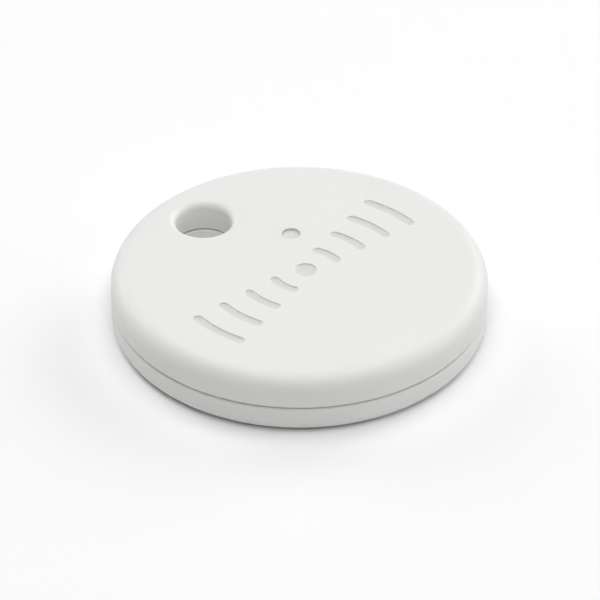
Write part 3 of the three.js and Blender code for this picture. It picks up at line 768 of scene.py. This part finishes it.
def cell_can():
    """The positive can, curled in at its rim, with a plus sign inside a ring pressed into its top."""
    wall, edge = 0.25, 0.35
    base = CELL_BASE
    inside = CELL_RADIUS - wall
    rim = base + 0.3
    body = turned([
        (0, CELL_TOP - wall),
        (inside, CELL_TOP - wall),
        (inside, rim + 0.55),
        (9.15, rim + 0.25),
        *arc(9.23, rim + 0.08, 0.08, 180, 270, 3),
        *arc(CELL_RADIUS - 0.5, rim + 0.5, 0.5, 270, 360, 8),
        *arc(CELL_RADIUS - edge, CELL_TOP - edge, edge, 0, 90, 8),
        (0, CELL_TOP),
    ], MEDIUM, CELL)
    low, high = CELL_TOP - 0.03, CELL_TOP + 1
    ring = turned([(8.45, low), (8.6, low), (8.75, high), (8.3, high)], MEDIUM, CELL)
    bars = [turn(block((-1.6, -0.3, -0.05), (1.6, 0.3, 1), 0.1), a, CELL, CELL_TOP) for a in (0, 90)]
    cut(body, ring, *bars)
    return piece("cell_can_shell", body, "coin_cell", CAN_STEEL, "cell_can")


def cell_cap():
    base = CELL_BASE
    body = turned([
        (0, base),
        *arc(8.1, base + 0.2, 0.2, 270, 315, 3),
        *arc(8.45, base + 0.4, 0.3, 315, 360, 3),
        (8.75, base + 2.1),
        (8.55, base + 2.1),
        (8.55, base + 0.7),
        (8.2, base + 0.25),
        (0, base + 0.25),
    ], MEDIUM, CELL)
    return piece("cell_cap_dish", body, "coin_cell", CAN_STEEL, "cell_cap")


def cradle():
    """A pressed cup on three spokes, whose nub stands over the dome switch, and the film on its spokes."""
    low, high = extent("cell_cradle")
    nub, top = low.z, high.z
    floor = nub + 0.05
    floor_top = floor + 0.1
    flange = top - 0.2
    inner, outer, rim = CELL_RADIUS + 0.1, CELL_RADIUS + 0.3, CELL_RADIUS + 0.9
    wall = turned([
        (inner - 1.2, floor),
        *arc(outer - 0.15, floor + 0.15, 0.15, 270, 360, 4),
        *arc(outer + 0.05, flange - 0.05, 0.05, 180, 90, 3),
        *arc(rim - 0.05, flange + 0.05, 0.05, 270, 360, 3),
        *arc(rim - 0.05, top - 0.05, 0.05, 0, 90, 3),
        *arc(inner + 0.2, top - 0.2, 0.2, 90, 180, 5),
        (inner, floor_top),
        (inner - 1.2, floor_top),
    ], MEDIUM, CELL)
    hub = disc(3.4, floor, floor_top, 64, CELL, 0.02)
    boss = turned([
        (0, nub),
        *arc(0.6, nub + 0.1, 0.1, 270, 350, 3),
        (0.7, floor_top),
        (0, floor_top),
    ], SMALL, CELL)
    spokes = [radial(a, 2, inner - 0.5, 3, floor, floor_top, CELL, 0.02) for a in SPOKE_ANGLES]
    window = radial(270, outer, 12, 5, flange - 0.1, 6, CELL, 0)
    made = cut(join(wall, hub, boss, *spokes), window)
    piece("cell_cradle_stamping", made, "cradle", CRADLE_STEEL, "cell_cradle")
    low, high = extent("insulating_film")
    hub = disc(3.7, low.z, high.z, 64, CELL)
    arms = [radial(a, 2, 8.8, 3.4, low.z, high.z, CELL, 0) for a in SPOKE_ANGLES]
    piece("cradle_film", join(hub, *arms), "cradle", FILM, "insulating_film")


# ---- Contacts, switch and springs ----


def battery_holder():
    low, high = extent("battery_holder")
    base, wall_top, guide_top = low.z, 3.3, high.z
    inner, outer = CELL_RADIUS + 0.5, CELL_RADIUS + 1
    wall = turned([
        (inner, base),
        (outer, base),
        *arc(outer - 0.1, wall_top - 0.1, 0.1, 0, 90, 3),
        *arc(inner + 0.15, wall_top - 0.15, 0.15, 90, 180, 4),
    ], MEDIUM, CELL)
    guide = [(0, base), (1.2, base), *arc(1.1, guide_top - 0.1, 0.1, 0, 90, 3), (0, guide_top)]
    bore = [(0, 0), (0.8, 0), (0.8, guide_top - 0.12), (0.95, guide_top + 0.03), (0.95, 6), (0, 6)]
    guides = [turned(guide, SMALL, at) for at in SPRINGS]
    bores = [turned(bore, SMALL, at) for at in SPRINGS]
    web = block((outer - 0.3, -5.4, base), (12.2, -0.6, 2.4), 0)
    room = disc(inner, 0, 6, MEDIUM, CELL)
    gaps = [radial(270, 9, 12, 5, 1.85, 6, CELL, 0.15)]
    gaps += [radial(a, 9, 12, 5, 2.2, 6, CELL, 0.3) for a in (135, 225)]
    made = cut(join(wall, web, *guides), room, *bores, *gaps)
    piece("battery_holder_moulding", made, "rear_half", BLACK, "battery_holder")


def contacts():
    """The leaf on the cradle's wall, and the ring with three fingers under the cell's cap."""
    sheet = 0.15
    foot = SEAT + sheet / 2
    line = [(11.3, foot), (12.1, foot), (12.8, foot + 0.03), (13.2, 1.8), (13.15, 2.5), (12.6, 3.05),
            (11.7, 3.25), (10.95, 3.1), (10.47, 2.65), (10.62, 2.15)]
    leaf = turn(strip(line, sheet, 3.6, 72, 0.03), 270, CELL)
    piece("positive_contact_leaf", leaf, "rear_half", SPRING_STEEL, "positive_contact")
    sheet = 0.1
    base = turned([(4.3, SEAT), (5.5, SEAT), (5.5, SEAT + sheet), (4.3, SEAT + sheet)], MEDIUM, CELL)
    low, tip = SEAT + sheet / 2, extent("negative_contact")[1].z - sheet / 2
    line = [(5.2, low), (6, low), (7.2, tip - 0.06), (7.9, tip), (8.4, tip - 0.1)]
    fingers = [turn(strip(line, sheet, 1.6, 40, 0.015), a, CELL) for a in FINGER_ANGLES]
    tabs = [radial(a, 5.3, 6.8, 1.8, SEAT, SEAT + sheet, CELL, 0.02) for a in SPOKE_ANGLES]
    ring = join(base, *fingers, *tabs)
    spider = piece("negative_contact_spider", ring, "rear_half", SPRING_STEEL,
                   "negative_contact")
    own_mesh(spider)


def switch():
    low, high = extent("switch_dome")
    radius, rise, sheet = 2.0, high.z - low.z, 0.06
    crown = (radius**2 + rise**2) / (2 * rise)
    half = math.degrees(math.asin(radius / crown))
    centre = high.z - crown
    outer = arc(0, centre, crown, 90 - half, 89.9, 14)
    inner = [(x * 0.985, max(z, low.z)) for x, z in arc(0, centre, crown - sheet, 89.9, 90 - half, 14)]
    profile = [(0, inner[0][1]), *inner[:-1], (radius * 0.98, low.z), *outer, (0, outer[-1][1])]
    made = turned(profile, 64, CELL)
    dome = piece("dome_switch", made, "rear_half", GOLD, "switch_dome")
    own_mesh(dome)


def buzzer_springs():
    low, high = extent("buzzer_spring_1")
    wire, radius, turns = 0.11, 0.55, 7.0
    closed, rise = 0.13, 0.21  # share of the wire in each closed end, and how high that end is
    middle_rise = high.z - low.z - 2 * wire - 2 * rise
    steps = 150
    for i, (x, y) in enumerate(SPRINGS, 1):
        points = []
        for t in (k / steps for k in range(steps + 1)):
            angle = 2 * math.pi * turns * t
            lift = min(1, max(0, (t - closed) / (1 - 2 * closed)))
            z = low.z + wire + rise * min(t, closed) / closed
            z += middle_rise * lift + rise * max(0, t - 1 + closed) / closed
            points.append((x + radius * math.cos(angle), y + radius * math.sin(angle), z))
        coil = sweep(points, wire)
        made = piece(f"buzzer_coil_{i}", coil, "rear_half", GOLD, f"buzzer_spring_{i}", 60)
        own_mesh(made)


# ---- Circuit board ----


def circuit_board():
    body = disc(BOARD_RADIUS, BOARD_BASE, BOARD_TOP, ROUND, (0, 0), 0.03)
    bite = disc(BOARD_BITE, 0, 3, MEDIUM, KEY)
    holes = [disc(0.7, 0, 3, SMALL, at) for at in STAKES]
    made = cut(body, bite, *holes)
    piece("circuit_board_panel", made, "rear_half", MASK, "circuit_board")


def on_board(x, y, margin=0.35):
    """Whether a point is on open board: inside its edge, clear of the keyring bite and the posts."""
    if math.hypot(x, y) > BOARD_RADIUS - margin or math.dist((x, y), KEY) < BOARD_BITE + margin:
        return False
    return all(math.dist((x, y), at) > 1.1 + margin for at in STAKES)


def ribbon(points, width, low, high):
    """A flat track along 2-D points."""
    left, right = [], []
    for i, point in enumerate(points):
        along = (points[min(i + 1, len(points) - 1)] - points[max(i - 1, 0)]).normalized()
        side = Vector((-along.y, along.x)) * width / 2
        left.append(point - side)
        right.append(point + side)
    outline = [*left, *reversed(right)]
    return prism([tuple(p) for p in outline], low, high)


def polar(radius, degrees):
    """A point by its distance and direction from the cell's middle."""
    a = math.radians(degrees)
    return Vector((CELL[0] + radius * math.cos(a), CELL[1] + radius * math.sin(a)))


def track(inner, outer, start, end, jog=4.0):
    """A track round the cell that steps from one radius to another with a slanted jog."""
    points = []
    steps = max(6, int(abs(end - start) / 1.5))
    centre = (start + end) / 2
    for i in range(steps + 1):
        angle = start + (end - start) * i / steps
        share = min(1, max(0, (angle - centre) / jog + 0.5))
        points.append(polar(inner + (outer - inner) * share, angle))
    return points


def via(at):
    """A plated hole under the mask, as a low ring with a dimple."""
    ring = disc(0.19, BOARD_TOP, BOARD_TOP + 0.014, 16, at)
    dimple = disc(0.09, BOARD_TOP, BOARD_TOP + 0.016, 12, at)
    return [(ring, COPPER_LINES), (dimple, MASK)]


def board_tracks():
    """Copper tracks under the mask, with a via at each end."""
    parts = []
    spans = [(-62, 24), (28, 72), (108, 152), (156, 232), (238, 262), (278, 300)]
    for start, end in spans:
        for k in range(7):
            inner = 11.25 + 0.52 * k
            outer = inner + random.choice((-0.26, 0, 0.26))
            first = start + random.uniform(0, 8)
            last = end - random.uniform(0, 8)
            points = track(inner, outer, first, last)
            if not all(on_board(p.x, p.y) for p in points):
                continue
            width = random.choice((0.12, 0.12, 0.16, 0.24))
            parts.append((ribbon(points, width, BOARD_TOP, BOARD_TOP + 0.012), COPPER_LINES))
            parts += via(tuple(points[0])) + via(tuple(points[-1]))
    for degrees in range(0, 360, 15):
        for radius in (6.5, 8.4, 9.6):
            parts += via(tuple(polar(radius, degrees + radius)))
    piece("board_tracks", gathered(parts), "rear_half")


def board_pads():
    """Bare gold test pads, the ring under the dome's rim, and the pads under the buzzer springs."""
    low, high = BOARD_TOP, BOARD_TOP + 0.015
    spots = [(-13.8, 1.6), (-13.8, 3.0), (-12.4, 2.5), (6.2, -14.2), (7.8, -13.4), (4.4, -14.6),
             (-9.6, -12.4), (-11.0, -11.2), (13.6, 2.2)]
    pads = [disc(0.45, low, high, 24, at) for at in spots if on_board(*at, 0.5)]
    pads.append(turned([(1.7, low), (2.05, low), (2.05, high), (1.7, high)], 64, CELL))
    pads += [disc(0.75, low, high, 32, at) for at in SPRINGS]
    piece("board_pads", gathered([(pad, GOLD) for pad in pads]), "rear_half")


def heading(node):
    """Direction of a node's longest straight edge seen from above, in degrees."""
    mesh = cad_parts[node].data
    flat = [v.co.xy for v in mesh.vertices]
    sides = [flat[a] - flat[b] for a, b in (e.vertices for e in mesh.edges)]
    square = [s for s in sides if s.length > 1e-5]
    longest = max(square, key=lambda s: s.length)
    return math.degrees(math.atan2(longest.y, longest.x))


def board_ink():
    """Printed outlines round the larger parts, with no lettering."""
    low, high, leg = BOARD_TOP + 0.016, BOARD_TOP + 0.024, 0.7
    # Two of them follow heading(), which isn't the angle that their parts are turned by.
    outlines = [("radio_chip", 2.85, 2.85, TURNED["radio_chip"]),
                ("boost_inductor", 1.95, 1.95, TURNED["boost_inductor"]),
                ("bulk_capacitor", 2.1, 1.7, heading("bulk_capacitor")),
                ("clock_crystal", 1.9, 1.05, heading("clock_crystal"))]
    parts = []
    for node, half_x, half_y, degrees in outlines:
        for x, y in itertools.product((-1, 1), (-1, 1)):
            corner = Vector((x * half_x, y * half_y))
            for end in (corner - Vector((x * leg, 0)), corner - Vector((0, y * leg))):
                line = ribbon([corner, end], 0.12, low, high)
                parts.append((turn(line, degrees, middle(node)), INK))
    piece("board_ink", gathered(parts), "rear_half")


# ---- Board parts, each built about its own middle and then placed ----

PAD = 0.018  # height of a tinned pad


def fitted(name, node, parts, degrees):
    """Places a board part built about its own middle where its CAD node is."""
    made = turn(gathered(parts), degrees, middle(node))
    return piece(name, made, "rear_half", node=node)


def solder_fillet(x, half_width, height, side):
    """A small wedge of solder from the board up a terminal."""
    run, low = side * 0.28, BOARD_TOP
    outline = [(x, low), (x + run, low), (x + run * 0.45, low + height * 0.28), (x, low + height * 0.7)]
    if side < 0:
        outline.reverse()
    return upright(prism(outline, -half_width, half_width))


def end_capped(node, length, width, height, body, degrees):
    """A chip part with a tinned cap, a solder fillet and a pad at each end."""
    x, y, skin = length / 2, width / 2, 0.03
    cap = x - length * 0.22
    core = block((skin - x, skin - y, SEAT + skin), (x - skin, y - skin, SEAT + height - skin), 0.03)
    parts = [(core, body)]
    for side in (-1, 1):
        x0, x1 = sorted((side * x, side * cap))
        parts.append((block((x0, -y, SEAT), (x1, y, SEAT + height), 0.05, 3), TIN))
        parts.append((solder_fillet(side * x, width * 0.45, height, side), TIN))
        x0, x1 = sorted((side * (x + 0.3), side * cap))
        pad = block((x0, -y - skin, BOARD_TOP), (x1, y + skin, BOARD_TOP + PAD), 0)
        parts.append((pad, TIN))
    return fitted(node + "_body", node, parts, degrees)


def radio():
    """The radio chip, with its side lands and pin mark."""
    height = extent("radio_chip")[1].z
    body = block((-2.5, -2.5, SEAT), (2.5, 2.5, height), 0.06)
    cut(body, disc(0.22, height - 0.03, height + 1, 24, (-1.95, 1.95)))
    parts = [(body, EPOXY)]
    for k in range(4):
        for i in range(9):
            y = -2.0 + 0.5 * i
            land = block((2.38, y - 0.12, BOARD_TOP), (2.78, y + 0.12, SEAT + 0.12), 0.01)
            parts.append((turn(land, 90 * k), TIN))
    fitted("radio_chip_package", "radio_chip", parts, TURNED["radio_chip"])


def driver():
    """The buzzer driver, with its six bent legs."""
    height = extent("buzzer_driver")[1].z
    low = SEAT + 0.1
    half_x, half_y = 1.45, 0.8
    rings = []
    for z, inset in ((low, 0.08), (low + 0.35, 0.0), (low + 0.45, 0.0), (height, 0.12)):
        x, y = half_x - inset, half_y - inset
        rings.append([(-x, -y, z), (x, -y, z), (x, y, z), (-x, y, z)])
    body = bevel(loft(rings), 0.03)
    parts = [(body, EPOXY)]
    foot = SEAT + 0.06
    leg = [(0.6, low + 0.4), (0.95, low + 0.4), (1.06, low + 0.3), (1.1, low + 0.05),
           (1.2, foot), (1.4, foot)]
    for x in (-0.95, 0, 0.95):
        for facing in (90, 270):
            made = strip(leg, 0.1, 0.36, 24, 0.01)
            parts.append((turn(made, facing, (x, 0)), TIN))
    fitted("buzzer_driver_package", "buzzer_driver", parts, TURNED["buzzer_driver"])


def crystal(node, length, width):
    """A ceramic boat with a metal lid seam-welded on."""
    top = extent(node)[1].z
    step = SEAT + (top - SEAT) * 0.4
    x, y = length / 2, width / 2
    boat = block((-x, -y, SEAT), (x, y, step), 0.05)
    lid = block((-x + 0.14, -y + 0.14, SEAT + 0.05), (x - 0.14, y - 0.14, top), 0.1, 4)
    rim = block((-x + 0.08, -y + 0.08, step - 0.02), (x - 0.08, y - 0.08, step + 0.04), 0.02)
    corners = itertools.product((0.25 - x, x - 0.25), (0.2 - y, y - 0.2))
    pads = [block((px - 0.3, py - 0.25, BOARD_TOP), (px + 0.3, py + 0.25, BOARD_TOP + PAD), 0)
            for px, py in corners]
    parts = [(boat, ALUMINA), (lid, LID_METAL), (rim, GOLD), *[(p, TIN) for p in pads]]
    fitted(node + "_can", node, parts, TURNED[node])


def inductor():
    """A ferrite drum wound with enamelled wire, on a square base."""
    node, half = "boost_inductor", 1.6
    top = extent(node)[1].z
    height = top - SEAT
    base = block((-half, -half, SEAT), (half, half, SEAT + height * 0.25), 0.1)
    core = disc(half * 0.6, SEAT + 0.1, top - 0.1, SMALL)
    lid = disc(half, SEAT + height * 0.75, top, 64, (0, 0), 0.08)
    wire = 0.09
    count = int(height * 0.5 / (2 * wire))
    first = SEAT + height * 0.25 + wire
    turns = [torus(half * 0.76, wire, first + 2 * wire * k, (0, 0), 64) for k in range(count)]
    ends = [block((x - 0.2, -0.6, BOARD_TOP), (x + 0.2, 0.6, SEAT + 0.16), 0.03) for x in (-1.45, 1.45)]
    parts = [(made, FERRITE) for made in (base, core, lid)]
    parts += [(made, WINDING) for made in turns]
    parts += [(made, TIN) for made in ends]
    fitted("boost_inductor_drum", node, parts, TURNED[node])


def bulk_capacitor():
    """A yellow moulded block with a polarity stripe and folded terminals."""
    node, x, y = "bulk_capacitor", 1.75, 1.4
    top = extent(node)[1].z
    body = block((-x + 0.06, -y, SEAT + 0.05), (x - 0.06, y, top), 0.12, 3)
    stripe = block((x - 0.85, -y + 0.13, top - 0.02), (x - 0.4, y - 0.13, top + 0.004), 0)
    middles = (0.12 - x, x - 0.12)
    ends = [block((end - 0.12, -1.1, BOARD_TOP), (end + 0.12, 1.1, SEAT + 0.75), 0.04) for end in middles]
    parts = [(body, TANTALUM), (stripe, STRIPE), *[(e, TIN) for e in ends]]
    parts += [(solder_fillet(side * x, 1.0, 0.8, side), TIN) for side in (-1, 1)]
    fitted("bulk_capacitor_body", node, parts, TURNED[node])


def small_parts():
    end_capped("antenna_chip", 3.2, 1.6, 1.1, WHITE_CERAMIC, TURNED["antenna_chip"])
    for i, degrees in enumerate((134, 140, 146, 152), 1):
        end_capped(f"capacitor_{i}", 1.0, 0.5, 0.5, TAN_CERAMIC, degrees)
    for i, degrees in enumerate((143, 150, 157, 164), 1):
        end_capped(f"resistor_{i}", 1.0, 0.5, 0.35, RESISTOR, degrees)
    for i in (1, 2, 3):
        end_capped(f"antenna_matching_{i}", 1.0, 0.5, 0.5, TAN_CERAMIC, 130)
    crystal("main_crystal", 2.0, 1.6)
    crystal("clock_crystal", 3.2, 1.5)


# ---- Sounder and vent ----


def sounder():
    """The brass plate, the silvered ceramic on it, and the film circuit out to the springs."""
    low, high = extent("piezo_plate")
    plate = disc(9.0, low.z, high.z, MEDIUM, PIEZO, 0.03)
    piece("sounder_plate", plate, "front_half", BRASS, "piezo_plate")
    low, high = extent("piezo_ceramic")
    parts = [
        (disc(6.0, low.z + 0.02, high.z, MEDIUM, PIEZO, 0.02), PIEZO_CERAMIC),
        (disc(5.6, low.z + 0.004, low.z + 0.02, MEDIUM, PIEZO), SILVER_PASTE),
    ]
    piece("sounder_ceramic", gathered(parts), "front_half", node="piezo_ceramic")
    low, high = extent("piezo_flex")
    neck = block((5.6, -3.9, low.z), (11.4, -2.1, high.z), 0)
    pads = prism(rounded(11.0, -5.8, 13.5, -0.2, 0.5), low.z, high.z)
    parts = [(join(neck, pads), FILM)]
    for (x, y), along in zip(SPRINGS, (-3.45, -2.55)):
        parts.append((disc(0.8, low.z - 0.012, low.z, 32, (x, y)), GOLD))
        line = [Vector((5.9, along)), Vector((10.8, along)), Vector((x - 0.6, y))]
        parts.append((ribbon(line, 0.25, low.z - 0.008, low.z), WINDING))
    piece("sounder_flex", gathered(parts), "front_half", node="piezo_flex")


def rounded(x0, y0, x1, y1, radius):
    """Outline of a rectangle with round corners."""
    return [
        *arc(x1 - radius, y0 + radius, radius, -90, 0, 5),
        *arc(x1 - radius, y1 - radius, radius, 0, 90, 5),
        *arc(x0 + radius, y1 - radius, radius, 90, 180, 5),
        *arc(x0 + radius, y0 + radius, radius, 180, 270, 5),
    ]


def vent():
    low, high = extent("vent_membrane")
    film = disc(VENT_RADIUS, low.z, high.z, 64, PORT, 0.01)
    piece("vent_film_disc", film, "front_half", VENT_FILM, "vent_membrane")


def kept_nodes():
    """CAD nodes whose own shape stays, each with its material."""
    finishes = {
        "dome_film": FILM,
        "vent_gasket": FOAM,
        "cell_gasket": CELL_SEAL,
        "cell_anode": LITHIUM,
        "cell_separator": SEPARATOR,
        "cell_cathode": CATHODE,
    }
    for node, material in finishes.items():
        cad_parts[node].material_slots[0].material = material


# ---- Stage ----


def stage():
    half = 1500
    floor = solid([(-half, -half, 0), (half, -half, 0), (half, half, 0), (-half, half, 0)], [(0, 1, 2, 3)])
    floor.name = "floor"
    floor.data.transform(Matrix.Scale(MM, 4))
    floor.location.z = -0.02 * MM
    floor.data.materials.append(floor_paper())


def softbox(name, azimuth, elevation, distance, size, power):
    """A round area light aimed at the object. Azimuth 0 is towards -Y, and 90 towards +X."""
    around, up = math.radians(azimuth), math.radians(elevation)
    data = bpy.data.lights.new(name, "AREA")
    data.shape = "DISK"
    data.size = size
    data.energy = power
    light = bpy.data.objects.new(name, data)
    light.location = distance * Vector((
        math.sin(around) * math.cos(up),
        -math.cos(around) * math.cos(up),
        math.sin(up),
    ))
    light.rotation_euler = light.location.to_track_quat("Z", "Y").to_euler()
    bpy.context.scene.collection.objects.link(light)


def lights():
    """Most of the light comes from above and behind, so the sides are a little darker than the top."""
    world = bpy.data.worlds.new("studio")
    world.use_nodes = True
    world.node_tree.nodes["Background"].inputs["Color"].default_value = (1, 1, 1, 1)
    world.node_tree.nodes["Background"].inputs["Strength"].default_value = 0.01
    bpy.context.scene.world = world
    softbox("overhead", 0, 90, 0.7, 0.7, 3.2)
    softbox("back_right", 85, 25, 0.7, 0.4, 1.55)
    softbox("back_left", 175, 25, 0.7, 0.4, 1.35)
    softbox("front", -50, 55, 0.7, 0.4, 1.0)
    softbox("left", 190, 55, 0.7, 0.4, 0.3)
    softbox("right", 40, 25, 0.7, 0.4, 0.75)
    bpy.context.scene.view_settings.view_transform = "Standard"


def camera():
    """A long lens from the front left."""
    azimuth, elevation, distance = math.radians(-49.5), math.radians(36.25), 0.4
    back = Vector((
        math.sin(azimuth) * math.cos(elevation),
        -math.cos(azimuth) * math.cos(elevation),
        math.sin(elevation),
    ))
    centre = (cad_low + cad_high) / 2
    turning = back.to_track_quat("Z", "Y")
    aim = Vector((0.05, -0.785, 0)) * MM  # a little right of the centre and under it
    data = bpy.data.cameras.new("camera")
    data.sensor_width = 36
    data.lens = 238.3
    data.clip_start = 0.01
    made = bpy.data.objects.new("camera", data)
    made.rotation_euler = turning.to_euler()
    made.location = centre + back * distance + turning @ aim
    bpy.context.scene.collection.objects.link(made)
    bpy.context.scene.camera = made


camera()
lights()
stage()
front_shell()
rear_shell()
seals()
cell_can()
cell_cap()
cradle()
battery_holder()
contacts()
switch()
buzzer_springs()
circuit_board()
board_tracks()
board_pads()
board_ink()
radio()
driver()
inductor()
bulk_capacitor()
small_parts()
sounder()
vent()
kept_nodes()

bpy.context.view_layer.update()
